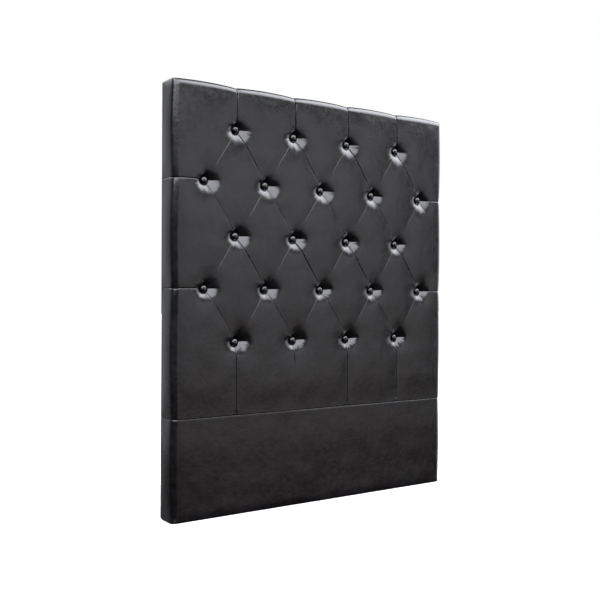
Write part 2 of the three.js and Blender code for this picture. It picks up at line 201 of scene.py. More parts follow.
# --- Places, from the frame ---

def centre(node):
    low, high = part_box(node)
    return (low + high) / 2


def button_rows():
    """The names of the buttons' nodes, row by row from the top."""
    names = sorted(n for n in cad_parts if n.startswith("button_row"))
    rows = sorted({n.split("_")[1] for n in names})
    return [[n for n in names if n.split("_")[1] == row] for row in rows]


COVER_LOW, COVER_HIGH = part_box("tufted_cover")
SKIRT_LOW, SKIRT_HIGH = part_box("skirt_cover")
SEAM_Z = (COVER_LOW.z + SKIRT_HIGH.z) / 2
BUTTON_NODES = button_rows()
FORWARD = (0.0, -1.0, 0.0)
FRAME_ENDINGS = ("_stile", "_rail", "_post", "_lower_left", "_lower_right", "_upper_left", "_upper_right")
FRAME_NODES = sorted(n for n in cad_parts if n.endswith(FRAME_ENDINGS))
PLATES = ["left_hanging_plate", "right_hanging_plate"]
FOOT_PADS = ["left_foot_pad", "right_foot_pad"]
SCREWS = sorted(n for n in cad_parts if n.endswith("_screw"))
TWINES = sorted(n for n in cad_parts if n.startswith("twine_"))


@dataclass
class Pleat:
    """A fold between two places on a cover's front, each (x, distance from the seam)."""
    start: tuple
    end: tuple
    to_edge: bool = False  # it runs on over the edge
    strength: float = 1.0
    shown: float = 1.0  # the share of its length that the groove reaches along
    bow: float = 0.0
    faint: float = 0.2  # how much of the groove is left where it comes down to a button


@dataclass
class Cover:
    """One stretched cover, from its seam to its far end. `up` is 1 where that end is above the seam."""
    name: str
    up: int
    half_width: float
    length: float
    front: float
    back: float
    end_round: float
    seam_round: float
    seam_drop: float
    cloth_cap: float  # the most that the cloth simulation may move it
    buttons: list = field(default_factory=list)
    folds: list = field(default_factory=list)  # each button's fold_at
    pleats: list = field(default_factory=list)

    def __post_init__(self):
        self.flat_half = self.half_width - EDGE_ROUND
        self.flat_end = self.length - self.end_round

    def side_marks(self):
        return sorted({p.end[1] for p in self.pleats if p.to_edge and abs(p.end[0]) > self.half_width / 1.2})

    def end_marks(self):
        return sorted({p.end[0] for p in self.pleats if p.to_edge and p.end[1] > self.length * 0.9})


def fold_at(rng, down):
    """One button's fold and facet: the fold's angle up from level, its depth and width, the facet's radius
    and how far above the button it points. `down` is 0 in the top row and 1 in the bottom row."""
    turn = radians(rng.uniform(-3, 3) + 5 * down)
    depth, width = (top + (bottom - top) * down for top, bottom in (FOLD_DEPTH, FOLD_WIDTH))
    return turn, depth, width, FACET_RADIUS * rng.uniform(0.88, 1.08), FACET_LIFT * down


def tufted_pleats(rows, flat_half, flat_end):
    """The pleats between the buttons, over the top, to the sides and down to the seam."""
    pitch = rows[0][1][0] - rows[0][0][0]
    pleats = []
    for i, (upper, lower) in enumerate(zip(rows, rows[1:])):
        for start in upper:
            for end in lower:
                if abs(start[0] - end[0]) < pitch * 0.6:
                    strength = FALLING_RIGHT[i % 2] if end[0] > start[0] else FALLING_LEFT
                    pleats.append(Pleat(start, end, strength=strength))
    pleats += [Pleat((x, h), (x, flat_end), to_edge=True, strength=OVER_TOP) for x, h in rows[0]]
    for row in rows:
        for x, h in (row[0], row[-1]):
            if abs(x) > 1.6 * pitch:
                edge = (copysign(flat_half, x), h)
                pleats.append(Pleat((x, h), edge, to_edge=True, strength=TO_LEFT if x < 0 else TO_RIGHT))
    for i, (x, h) in enumerate(rows[-1]):
        shown = SHORT_SHOWN if i == SHORT_ONE else 1.0
        pleats.append(Pleat((x, h), (x, 0.0), strength=TO_SEAM, shown=shown))
    return pleats


def tufted_cover():
    rng = np.random.default_rng(SEED)
    rows = [[(centre(n).x, centre(n).z - SEAM_Z) for n in row] for row in BUTTON_NODES]
    length = COVER_HIGH.z - SEAM_Z + END_SWELL
    pleats = tufted_pleats(rows, COVER_HIGH.x - EDGE_ROUND, length - EDGE_ROUND)
    for pleat in pleats:
        pleat.bow = PLEAT_BOW * rng.uniform(-0.2, 1.0)
        pleat.strength *= rng.uniform(0.85, 1.15)
        pleat.faint = rng.uniform(0, 0.5)
    return Cover(
        name="tufted_leatherette", up=1, half_width=COVER_HIGH.x, length=length,
        front=COVER_LOW.y, back=COVER_HIGH.y, end_round=EDGE_ROUND, seam_round=1 * MM, seam_drop=0.35 * MM,
        cloth_cap=2.4 * MM, buttons=[b for row in rows for b in row], pleats=pleats,
        folds=[fold_at(rng, j / (len(rows) - 1)) for j, row in enumerate(rows) for _ in row],
    )


def skirt_cover():
    return Cover(
        name="skirt_leatherette", up=-1, half_width=SKIRT_HIGH.x, length=SEAM_Z - SKIRT_LOW.z + 2 * MM,
        front=SKIRT_LOW.y - SKIRT_SWELL, back=SKIRT_HIGH.y, end_round=5 * MM,
        seam_round=5.5 * MM, seam_drop=2.4 * MM, cloth_cap=0.9 * MM,
    )


# --- The covers' relief, as depths in from the flat front ---

def along_segment(x, h, start, end):
    """For each point, its distance from the segment, the place of the nearest point along it, and the
    segment's length."""
    sx, sh = start
    dx, dh = end[0] - sx, end[1] - sh
    length = hypot(dx, dh)
    t = np.clip(((x - sx) * dx + (h - sh) * dh) / length**2, 0, 1)
    distance = np.hypot(x - sx - t * dx, h - sh - t * dh)
    return distance, t, length


def share(value, low, high):
    """0 below low and 1 above high, with a straight rise between."""
    return np.clip((value - low) / (high - low), 0, 1)


def eased(value, low, high):
    """0 below low and 1 above high, with a smooth rise between."""
    t = share(value, low, high)
    return t * t * (3 - 2 * t)


def from_buttons(cover, x, h):
    """How far each place is from the nearest button's middle, at most 1 m."""
    near = np.full_like(x, 1.0)
    for bx, bh in cover.buttons:
        near = np.minimum(near, np.hypot(x - bx, h - bh))
    return near


def pit_depth(across, up, fold_depth, fold_width, facet_radius, lift):
    """A pit's depth at a place measured from its button's middle, along its fold and square to it."""
    r = np.hypot(across, up)
    higher = eased(up / np.maximum(r, 1e-6), -0.3, 0.8)
    left = eased(-across / np.maximum(r, 1e-6), -0.2, 0.7) * higher
    hollow = HOLLOW_DEPTH * higher * (1 - 0.7 * left)
    fade = PIT_FADE * (1 - (1 - FADE_ABOVE) * higher - FADE_LEFT * left)
    past = -np.maximum(r - PIT_THROAT, 0)
    wall = (PIT_DEPTH - hollow) * np.exp(past / fade) + hollow * np.exp(past / HOLLOW_FADE)
    throat = (PIT_FLOOR_DEPTH - PIT_DEPTH) * share(r, PIT_THROAT, PIT_FLOOR_RADIUS)
    excess = FACET_SLOPE * (facet_radius + lift / 2 - np.hypot(across, up - lift)) - wall
    excess = (excess + np.hypot(excess, FACET_SOFTNESS)) / 2
    turn = np.degrees(np.arctan2(up, across))
    below = eased(turn, -100, -50)
    beside = np.exp(-np.abs(up) / np.where(up > 0, fold_width, fold_width * FOLD_UNDER))
    above = beside * eased(across / np.maximum(r, 1e-6), 0, 0.5)
    fold = fold_depth * beside * eased(across, *FOLD_RISE) * (1 - eased(across, *FOLD_FALL))
    return wall + throat + excess * np.where(up > 0, above, below) + fold


def valley_depth(cover, pleat, x, h):
    """The broad hollow along a pleat, deepest at its button and where it goes over an edge."""
    distance, t, length = along_segment(x, h, pleat.start, pleat.end)
    to_end = (1 - t) * length
    ramp = np.exp(-t * length / VALLEY_FADE)
    far = FRONT_PULL if pleat.to_edge else VALLEY_DEPTH
    if pleat.to_edge:
        rise = np.exp(-to_end / VALLEY_EDGE_FADE)
    elif pleat.end in cover.buttons:
        rise, far = np.exp(-to_end / VALLEY_FADE), VALLEY_AT_BUTTON
    else:
        rise = np.zeros_like(t)
    middle = VALLEY_DEPTH * np.where(t <= pleat.shown, 1, np.exp(-(t - pleat.shown) * length / VALLEY_FADE))
    depth = middle + (VALLEY_AT_BUTTON - VALLEY_DEPTH) * ramp + (far - VALLEY_DEPTH) * rise
    return np.maximum(depth, 0) * np.exp(-distance / VALLEY_WIDTH)


def seam_depth(cover, h, drop):
    """How far the cover rolls in as it nears its seam."""
    u = np.clip((cover.seam_round - h) / cover.seam_round, 0, 1)
    return drop * (1 - np.sqrt(1 - np.minimum(u, 0.9999) ** 2))


def broad_depth(cover, x, h):
    """The pits and the hollows along the pleats, without the fine grooves."""
    power = 3
    total = np.full_like(x, 1e-6) ** power
    for (bx, bh), (turn, *shape) in zip(cover.buttons, cover.folds):
        dx, dh = x - bx, h - bh
        across, up = dx * cos(turn) + dh * sin(turn), dh * cos(turn) - dx * sin(turn)
        total += pit_depth(across, up, *shape) ** power
    for pleat in cover.pleats:
        total += valley_depth(cover, pleat, x, h) ** power
    return total ** (1 / power)


def groove_depth(cover, x, h):
    """The narrow grooves along the pleats, steep on their left. A groove that comes down to a button fades
    before it gets there."""
    total = np.zeros_like(x)
    for pleat in cover.pleats:
        (sx, sh), (ex, eh) = pleat.start, pleat.end
        distance, t, length = along_segment(x, h, pleat.start, pleat.end)
        fade = np.exp(-np.maximum(t - pleat.shown, 0) * length / GROOVE_SHORT_FADE) * pleat.strength
        if pleat.end in cover.buttons:
            fade *= pleat.faint + (1 - pleat.faint) * eased((1 - t) * length, *GROOVE_TO_BUTTON)
            fade *= 1 - 0.5 * eased(t * length, *GROOVE_HALVES)
        level = eh == sh
        facing = 1 if eh > sh or (level and ex < sx) else -1
        square = ((x - sx) * (eh - sh) - (h - sh) * (ex - sx)) * facing
        width = GROOVE_WIDTH * (1 if level else max(pleat.strength, GROOVE_FINEST))
        shown = np.clip(1 - distance / width, 0, 1)
        tucked = np.clip(1 - distance / GROOVE_TUCK, 0, 1)
        if level:
            tucked = 0.4 * np.clip(1 - distance / GROOVE_ROLL, 0, 1) ** 2 + 0.6 * tucked
        total += fade * GROOVE_DEPTH * np.where(square > 0, shown, tucked)
    return total * np.clip((from_buttons(cover, x, h) - 10 * MM) / (4 * MM), 0, 1)


def wrinkle_depth(cover, x, h):
    """Fine folds that run out from each button and die away."""
    rng = np.random.default_rng(SEED + 1)
    total = np.zeros_like(x)
    for bx, bh in cover.buttons:
        dx, dh = x - bx, h - bh
        r, angle = np.hypot(dx, dh), np.arctan2(dh, dx)
        shape = np.exp(-((r - WRINKLE_MIDDLE) / WRINKLE_SPREAD) ** 2)
        shape *= np.clip((r - WRINKLE_START) / WRINKLE_RISE, 0, 1)
        for folds in WRINKLE_FOLDS:
            lean = rng.uniform(-0.25, 0.25) * (r - WRINKLE_STRAIGHT) / WRINKLE_STRAIGHT
            wave = np.cos(folds * (angle + lean) + rng.uniform(0, tau))
            total += WRINKLE * 9 / folds * shape * wave
    return total


def waves(rng, count, shortest, longest, x, h):
    """Straight waves that run any way over the places, each with its wavelength."""
    for _ in range(count):
        wavelength = rng.uniform(shortest, longest) * MM
        turn, phase = rng.uniform(0, pi), rng.uniform(0, tau)
        across = x * cos(turn) + h * sin(turn)
        yield wavelength, np.sin(across * tau / wavelength + phase)


def mottle_depth(x, h):
    """Slight waves at many scales, the same each run."""
    found = waves(np.random.default_rng(SEED + 2), 30, 28, 120, x, h)
    total = sum(wave * wavelength / (75 * MM) for wavelength, wave in found)
    return MOTTLE * total / sqrt(15)


# --- The cloth simulation ---

def cloth_pins(cover, x, h):
    """Which of the sheet's points the buttons, the pleats and the edges hold."""
    held = (x == x.min()) | (x == x.max()) | (h == h.min()) | (h == h.max())
    held |= from_buttons(cover, x, h) < PIT_THROAT + CLOTH_STEP / 2
    for pleat in cover.pleats:
        distance, t, _ = along_segment(x, h, pleat.start, pleat.end)
        held |= (distance < CLOTH_STEP * 0.6) & (t <= pleat.shown)
    return held


def simulated_bulge(cover):
    """Inflates a sheet that is pinned at the buttons, pleats and edges. Returns its grid and how far each
    point moved."""
    gx = np.linspace(-cover.flat_half, cover.flat_half, round(2 * cover.flat_half / CLOTH_STEP) + 1)
    gh = np.linspace(0, cover.flat_end, round(cover.flat_end / CLOTH_STEP) + 1)
    x, h = (a.ravel() for a in np.meshgrid(gx, gh, indexing="ij"))
    start = np.column_stack([x, cover.front + broad_depth(cover, x, h), SEAM_Z + cover.up * h])
    index = np.arange(len(x)).reshape(len(gx), len(gh))
    corners = [index[:-1, :-1], index[1:, :-1], index[1:, 1:], index[:-1, 1:]]
    quads = np.stack(corners, axis=-1).reshape(-1, 4)
    sheet = mesh_object(cover.name + "_sheet", start, quads[:, ::cover.up].tolist())
    pins = sheet.vertex_groups.new(name="pins")
    pins.add(np.flatnonzero(cloth_pins(cover, x, h)).tolist(), 1.0, "REPLACE")
    cloth = sheet.modifiers.new("cloth", "CLOTH")
    for key, value in CLOTH_SETTINGS.items():
        setattr(cloth.settings, key, value)
    cloth.settings.effector_weights.gravity = 0
    for step in range(1, CLOTH_FRAMES + 1):
        bpy.context.scene.frame_set(step)
    settled = sheet.evaluated_get(bpy.context.evaluated_depsgraph_get()).data
    end = np.zeros(len(x) * 3, np.float32)
    settled.vertices.foreach_get("co", end)
    bpy.context.scene.frame_set(1)
    bpy.data.objects.remove(sheet)
    moved = (end.reshape(-1, 3) - start).reshape(len(gx), len(gh), 3)
    moved = cover.cloth_cap * np.tanh(moved / cover.cloth_cap)
    return gx, gh, softened(moved)


def softened(grid):
    """The grid with each inner value averaged with its neighbours."""
    out = grid.copy()
    for axis in (0, 1):
        rolled = np.moveaxis(out, axis, 0)
        rolled[1:-1] = (rolled[:-2] + 2 * rolled[1:-1] + rolled[2:]) / 4
    return out


def sampled(gx, gh, grid, x, h):
    """A smooth reading of a grid's values at any points, by cubic interpolation along each axis."""
    def weights(positions, axis):
        place = np.clip((positions - axis[0]) / (axis[1] - axis[0]), 0, len(axis) - 1.000001)
        cell = place.astype(int)
        t = place - cell
        rows = np.clip(cell[:, None] + np.arange(-1, 3), 0, len(axis) - 1)
        parts = [-t**3 + 2 * t**2 - t, 3 * t**3 - 5 * t**2 + 2, -3 * t**3 + 4 * t**2 + t, t**3 - t**2]
        return rows, np.stack(parts, axis=1) / 2
    rows, wx = weights(x, gx)
    columns, wh = weights(h, gh)
    near = grid[rows[:, :, None], columns[:, None, :]]
    return np.einsum("ni,nj,nijk->nk", wx, wh, near)


# --- The covers' meshes ---

def graded(low, high, marks, step):
    """Places from low to high, with more of them beside each mark."""
    fine = [m + s * row * MM for m in marks for row in (*PLEAT_ROWS, 9.2) for s in (-1, 1)]
    coarse = np.linspace(low, high, round((high - low) / step) + 1)
    kept = [c for c in coarse[1:-1] if all(abs(c - m) > 12 * MM for m in marks)]
    inside = [f for f in fine if low + 1 * MM < f < high - 1 * MM]
    return np.array(sorted({low, high, *kept, *inside}))


def stations(cover):
    """The places along the outline: up one side, over the end and down the other side. Each is (side, value,
    distance to the nearest pleat that goes over the edge)."""
    def gap(value, marks):
        return min((abs(value - m) for m in marks), default=1.0)
    straight = cover.length - EDGE_ROUND - INNER_CORNER
    across = cover.half_width - EDGE_ROUND - INNER_CORNER
    sides, ends = cover.side_marks(), cover.end_marks()
    seam_rows = [row * MM for row in SEAM_ROWS]
    rise = [v for v in graded(0, straight, sides, OPEN_STEP) if v > seam_rows[-1] + 3 * MM]
    rise = sorted({*rise, *seam_rows})
    turns = [(i + 1) / (CORNER_STEPS + 1) * pi / 2 for i in range(CORNER_STEPS)]
    left = [("left", v, gap(v, sides)) for v in rise]
    left_corner = [("corner", pi - t, 1.0) for t in turns]
    end = [("end", v, gap(v, ends)) for v in graded(-across, across, ends, OPEN_STEP)]
    right_corner = [("corner", pi / 2 - t, 1.0) for t in turns]
    right = [("right", v, gap(v, sides)) for v in reversed(rise)]
    return left + left_corner + end + right_corner + right


def station_place(cover, station, inset, corner):
    """A station's (x, h) on the outline moved in by inset, and its outward direction there."""
    kind, value, _ = station
    wide, tall = cover.half_width - inset, cover.length - inset
    if kind == "left":
        return (-wide, value), (-1, 0)
    if kind == "right":
        return (wide, value), (1, 0)
    if kind == "end":
        return (value, tall), (0, 1)
    out = (cos(value), sin(value))
    middle = (copysign(wide - corner, out[0]), tall - corner)
    return (middle[0] + corner * out[0], middle[1] + corner * out[1]), out


def rounding(cover, station):
    """The front edge's radius at a station. The end of a cover has its own."""
    kind, value, _ = station
    at_end = {"end": 1, "corner": 1 - abs(cos(value))}.get(kind, 0)
    return EDGE_ROUND + (cover.end_round - EDGE_ROUND) * at_end


def edge_profile(cover, radius):
    """The section from the flat front over the rounded edge, along the side and round onto the back.
    Each row is (inset, y, corner radius, how far its normal has turned, 0 at the front to 1 at the side)."""
    rows = []
    for i in range(ARC_STEPS + 1):
        turn = i / ARC_STEPS * pi / 2
        inset = radius * (1 - sin(turn))
        corner = OUTER_CORNER + (INNER_CORNER - OUTER_CORNER) * inset / radius
        rows.append((inset, cover.front + radius * (1 - cos(turn)), corner, turn))
    side_start, side_end = rows[-1][1], cover.back - BACK_ROUND
    for i in range(1, SIDE_STEPS + 1):
        y = side_start + (side_end - side_start) * i / SIDE_STEPS
        rows.append((0, y, OUTER_CORNER, pi / 2))
    for i in range(1, 4):
        turn = i / 3 * pi / 2
        inset = BACK_ROUND * (1 - cos(turn))
        rows.append((inset, side_end + BACK_ROUND * sin(turn), OUTER_CORNER - inset, pi / 2 + turn))
    for part in (0.2, 0.45, 0.7, 1):
        inset = FLANGE * part
        rows.append((inset, cover.back, max(OUTER_CORNER - inset, 0.5 * MM), pi))
    return rows


def edge_pull(cover, station, y):
    """How far in a pleat draws the edge, and how far out the edge swells between two pleats."""
    kind, value, gap = station
    if kind == "corner":
        return 0.0
    back = (y - cover.front) / (cover.back - cover.front)
    hold = 1 - (1 - SIDE_HOLD) * np.clip(back / BOARD_SHARE, 0, 1)
    hold *= 1 - np.clip((back - 0.75) / 0.25, 0, 1) ** 2
    groove = GROOVE_DEPTH * max(1 - gap / GROOVE_WIDTH, 0) ** 1.5
    pull = FRONT_PULL + (EDGE_PULL - FRONT_PULL) * min(back / 0.12, 1)
    pulled = pull * exp(-gap / VALLEY_WIDTH) + groove
    at_end = kind == "end"
    marks, full = (cover.end_marks(), cover.half_width) if at_end else (cover.side_marks(), cover.length)
    stops = sorted({-full if at_end else 0.0, *marks, full})
    low = max((s for s in stops if s <= value), default=stops[0])
    high = min((s for s in stops if s > value), default=stops[-1])
    span = max(high - low, 1 * MM)
    swell = sin(pi * (value - low) / span) * min(span / 0.25, 1)
    stuffed = 0 if at_end and cover.up < 0 else SIDE_BULGE
    return pulled * hold - stuffed * swell * sin(pi * np.clip(back * 1.1, 0, 1)) ** 0.8


def ring_points(cover):
    """Points on rings round each button, closer together beside its fold and its pleats."""
    ends = [pair for p in cover.pleats for pair in ((p.start, p.end), (p.end, p.start))]
    found = []
    for (bx, bh), fold in zip(cover.buttons, cover.folds):
        angles = [fold[0]] + [atan2(far[1] - bh, far[0] - bx) for near, far in ends if near == (bx, bh)]
        found.append((bx, bh))
        for ring in PIT_RINGS:
            r = ring * MM
            rows = [row for row in PLEAT_ROWS[:5] if row < ring / 2]
            beside = [a + s * row * MM / r for a in angles for row in rows for s in (-1, 1)]
            count = max(12, round(tau * r / RING_STEP))
            clear = 5.2 * MM / r
            spread = [tau * i / count for i in range(count)]
            spread = [a for a in spread if all(abs(remainder(a - b, tau)) > clear for b in angles)]
            turns = sorted({round(remainder(a, tau), 5) for a in beside + spread})
            found += [(bx + r * cos(a), bh + r * sin(a)) for a in turns]
    return found


def pleat_points(cover):
    """Points in rows along each pleat, outside its buttons' rings."""
    ring_reach = (PIT_RINGS[-1] + 1.5) * MM
    found = []
    for pleat in cover.pleats:
        (sx, sh), (ex, eh) = pleat.start, pleat.end
        length = hypot(ex - sx, eh - sh)
        ux, uh = (ex - sx) / length, (eh - sh) / length
        last = length - (ring_reach if pleat.end in cover.buttons else 1.5 * MM)
        count = round((last - ring_reach) / PLEAT_STEP)
        for i in range(count + 1):
            s = ring_reach + (last - ring_reach) * i / count
            offs = [side * row * MM for row in PLEAT_ROWS for side in ((-1, 1) if row else (1,))]
            found += [(sx + ux * s - uh * off, sh + uh * s + ux * off) for off in offs]
    return found


def open_points(wide, tall):
    """A slightly uneven triangular grid of points over the whole front."""
    rng = np.random.default_rng(SEED + 3)
    found = []
    for j in range(1, int(tall / (OPEN_STEP * 0.866)) + 1):
        for i in range(int(2 * wide / OPEN_STEP) + 1):
            x = -wide + (i + 0.5 * (j % 2) + rng.uniform(-0.1, 0.1)) * OPEN_STEP
            h = (j + rng.uniform(-0.1, 0.1)) * OPEN_STEP * 0.866
            found.append((x, h))
    return found


def front_points(cover):
    """Points (x, h) for the flat front, close together where it has relief."""
    wide, tall = cover.flat_half, cover.flat_end
    seam_x = graded(-wide, wide, [], SEAM_STEP)[1:-1]
    fine = ring_points(cover) + pleat_points(cover)
    fine += [(x, row * MM) for row in SEAM_ROWS[1:] for x in seam_x]
    points = np.array(fine + open_points(wide, tall))
    return points[front_kept(cover, points, np.arange(len(points)) >= len(fine))]


def front_kept(cover, points, open_ones):
    """Which points stay: inside the flat front, and no open one among the finer ones."""
    x, h = points.T
    wide, tall = cover.flat_half, cover.flat_end
    inside = (np.abs(x) < wide - 1 * MM) & (h > 0.2 * MM) & (h < tall - 1 * MM)
    clear = (np.abs(x) < wide - 3.5 * MM) & (h < tall - 3.5 * MM) & (h > (SEAM_ROWS[-1] + 3.5) * MM)
    clear &= from_buttons(cover, x, h) > (PIT_RINGS[-1] + 3.5) * MM
    for pleat in cover.pleats:
        clear &= along_segment(x, h, pleat.start, pleat.end)[0] > (PLEAT_ROWS[-1] + 3) * MM
    near_seam = (h < (SEAM_ROWS[-1] + 1.5) * MM) & ~np.isin(np.round(h / MM, 6), SEAM_ROWS)
    return inside & (~open_ones | clear) & ~near_seam


def triangulated(points, outline):
    """The triangles of the flat front, by Delaunay's rule, inside its closed outline."""
    border = list(zip(outline, outline[1:] + outline[:1]))
    found = delaunay_2d_cdt([Vector(p) for p in points.tolist()], border, [], 1, 1e-7)
    origin = [source[0] for source in found[3]]
    return [tuple(origin[i] for i in face) for face in found[2]]


def bowed(cover, x, h):
    """Moves points sideways so that each pleat bends a little."""
    new_x, new_h = x.copy(), h.copy()
    for pleat in cover.pleats:
        distance, t, length = along_segment(x, h, pleat.start, pleat.end)
        ux, uh = (pleat.end[0] - pleat.start[0]) / length, (pleat.end[1] - pleat.start[1]) / length
        held = 1 if not pleat.to_edge else 0.6
        push = pleat.bow * held * np.sin(pi * t) * np.exp(-((distance / (22 * MM)) ** 2))
        new_x -= push * uh * copysign(1, -uh)
        new_h += push * ux * copysign(1, -uh)
    return new_x, new_h


def front_mesh(cover, around, ring):
    """The relief front inside the ring where its rounding begins. Returns its points, its faces and how many
    points lie along its seam, which come after the ring's."""
    wide = cover.flat_half
    seam_marks = [p.end[0] for p in cover.pleats if p.end[1] == 0 and p.shown == 1]
    seam_x = graded(-wide, wide, seam_marks, SEAM_STEP)[1:-1]
    seam = np.column_stack([seam_x, np.zeros_like(seam_x)])
    flat = np.concatenate([ring, seam, front_points(cover)])
    seam_order = range(len(ring) + len(seam) - 1, len(ring) - 1, -1)
    faces = triangulated(flat, [*range(len(ring)), *seam_order])

    x, h = flat.T
    moved = sampled(*simulated_bulge(cover), x, h) * eased(h, 0, SEAM_EASE)[:, None]
    depth = broad_depth(cover, x, h) + groove_depth(cover, x, h) + wrinkle_depth(cover, x, h)
    inner = np.clip(np.minimum(wide - np.abs(x), cover.flat_end - h) / MOTTLE_EDGE, 0, 1)
    depth += mottle_depth(x, h) * inner + seam_depth(cover, h, cover.seam_drop)
    edge = [edge_pull(cover, s, cover.front) for s in around]
    depth[: len(ring)] = edge + seam_depth(cover, ring[:, 1], cover.seam_drop)
    bx, bh = bowed(cover, x, h)
    bx[: len(ring)], bh[: len(ring)] = x[: len(ring)], h[: len(ring)]
    points = np.column_stack([bx, cover.front + depth, SEAM_Z + cover.up * bh]) + moved
    return points, faces, len(seam)


def edge_row(cover, around, rows):
    """One row of points round the cover's edge or side, and the way that each faces."""
    points, normals = [], []
    for station, (inset, y, corner, turn) in zip(around, rows):
        drop = cover.seam_drop + (SIDE_SEAM_DROP - cover.seam_drop) * min(turn / (pi / 2), 1)
        (px, ph), (ox, oh) = station_place(cover, station, inset, corner)
        normal = np.array([ox * sin(turn), -cos(turn), oh * sin(turn)])
        from_seam = np.array(ph if station[0] != "end" else 1.0)
        inward = edge_pull(cover, station, y) + float(seam_depth(cover, from_seam, drop))
        px, py, ph = np.array([px, y, ph]) - normal * inward
        points.append((px, py, SEAM_Z + cover.up * ph))
        normals.append(normal)
    return np.array(points), normals


def cover_mesh(cover):
    """The whole cover: its relief front, its edges and sides, its turn onto the back and its tucked seam."""
    around = stations(cover)
    profiles = [edge_profile(cover, rounding(cover, s)) for s in around]
    ring = np.array([station_place(cover, s, p[0][0], INNER_CORNER)[0] for s, p in zip(around, profiles)])
    front, faces, seam_count = front_mesh(cover, around, ring)
    points, rings, normals = [front], [range(len(ring))], [[FORWARD] * len(ring)]
    count = len(front)
    for rows in list(zip(*profiles))[1:]:
        row, row_normals = edge_row(cover, around, rows)
        points.append(row)
        rings.append(range(count, count + len(around)))
        normals.append(row_normals)
        count += len(around)
    for near, far in zip(rings, rings[1:]):
        faces += [(near[k], near[k + 1], far[k + 1], far[k]) for k in range(len(around) - 1)]

    last_side = ARC_STEPS + SIDE_STEPS
    left = [(rings[j][0], normals[j][0]) for j in range(last_side, -1, -1)]
    middle = [(len(ring) + i, FORWARD) for i in range(seam_count)]
    right = [(rings[j][-1], normals[j][-1]) for j in range(last_side + 1)]
    lip = left + middle + right
    placed = np.concatenate(points)
    points.append([placed[i] - SEAM_TUCK * np.array([n[0], n[1], cover.up * n[2]]) for i, n in lip])
    faces += [(lip[i][0], count + i, count + i + 1, lip[i + 1][0]) for i in range(len(lip) - 1)]
    if cover.up < 0:
        faces = [face[::-1] for face in faces]
    return np.concatenate(points), faces


# --- Making objects ---

def mesh_object(name, points, faces, smooth=True):
    mesh = bpy.data.meshes.new(name)
    mesh.from_pydata(np.asarray(points).tolist(), [], faces)
    mesh.validate()
    mesh.polygons.foreach_set("use_smooth", [smooth] * len(mesh.polygons))
    made = bpy.data.objects.new(name, mesh)
    bpy.context.scene.collection.objects.link(made)
    return made


def piece(made, material, slot, *nodes):
    """Gives a piece its material and its body, and hides the CAD nodes that it stands for."""
    made.data.materials.append(material)
    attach(made, BODY)
    if nodes:
        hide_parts(*nodes)
    return made


# --- Materials ---

class Nodes:
    """A short way to build a node tree, of a material or of the world."""

    def __init__(self, name, kind="materials"):
        self.made = getattr(bpy.data, kind).new(name)
        self.made.use_nodes = True
        self.tree = self.made.node_tree

    def feed(self, node, inputs):
        for key, value in inputs.items():
            if isinstance(value, bpy.types.NodeSocket):
                self.tree.links.new(value, node.inputs[key])
            else:
                node.inputs[key].default_value = value

    def add(self, kind, inputs=None, out=0, **settings):
        """Adds a node. Returns one of its outputs."""
        node = self.tree.nodes.new("ShaderNode" + kind)
        for key, value in settings.items():
            setattr(node, key, value)
        self.feed(node, inputs or {})
        return node.outputs[out]

    def shaded(self, inputs):
        """The material, once its shader has these inputs."""
        self.feed(self.tree.nodes["Principled BSDF"], inputs)
        return self.made

    def place(self):
        return self.add("TexCoord", out="Object")

    def noise(self, scale, detail, roughness):
        inputs = {"Vector": self.place(), "Scale": scale, "Detail": detail, "Roughness": roughness}
        return self.add("TexNoise", inputs, "Fac")

    def ramp(self, fac, *stops):
        colour = self.add("ValToRGB", {"Fac": fac})
        elements = colour.node.color_ramp.elements
        while len(elements) < len(stops):
            elements.new(0.5)
        for element, (position, shade) in zip(elements, stops):
            element.position = position
            element.color = (*shade, 1) if hasattr(shade, "__len__") else (shade, shade, shade, 1)
        return colour

    def math(self, operation, *values):
        return self.add("Math", dict(enumerate(values)), operation=operation)

    def along(self, vector, axis):
        return self.add("VectorMath", {0: vector, 1: axis}, "Value", operation="DOT_PRODUCT")

    def scaled(self, vector, scale):
        return self.add("VectorMath", {0: vector, "Scale": scale}, operation="SCALE")

    def spread(self, value, low, high, how="SMOOTHSTEP"):
        """0 at low and 1 at high."""
        inputs = {"Value": value, "From Min": low, "From Max": high}
        return self.add("MapRange", inputs, interpolation_type=how)

    def bump(self, height, strength, distance, under=None):
        inputs = {"Height": height, "Strength": strength, "Distance": distance}
        if under is not None:
            inputs["Normal"] = under
        return self.add("Bump", inputs)


def leatherette():
    """Black faux leather: a fine pebbled grain, a soft gloss and a slightly uneven colour."""
    n = Nodes("black_leatherette")
    cloudy = n.noise(9, 4, 0.6)
    blotchy = n.noise(70, 4, 0.6)
    tone = n.math("ADD", n.math("MULTIPLY", cloudy, 0.5), n.math("MULTIPLY", blotchy, 0.5))
    grain = n.bump(n.add("TexVoronoi", {"Vector": n.place(), "Scale": 850.0}), 0.12, 0.2 * MM)
    creased = n.bump(n.noise(260, 4, 0.6), 0.12, 0.3 * MM, grain)
    return n.shaded({
        "Base Color": n.ramp(tone, (0.36, (0.0012, 0.0011, 0.0012)), (0.64, (0.0056, 0.0052, 0.006))),
        "Roughness": n.ramp(tone, (0.36, 0.15), (0.64, 0.24)),
        "Specular IOR Level": 0.7,
        "Normal": n.bump(blotchy, 0.28, 1.4 * MM, creased),
    })


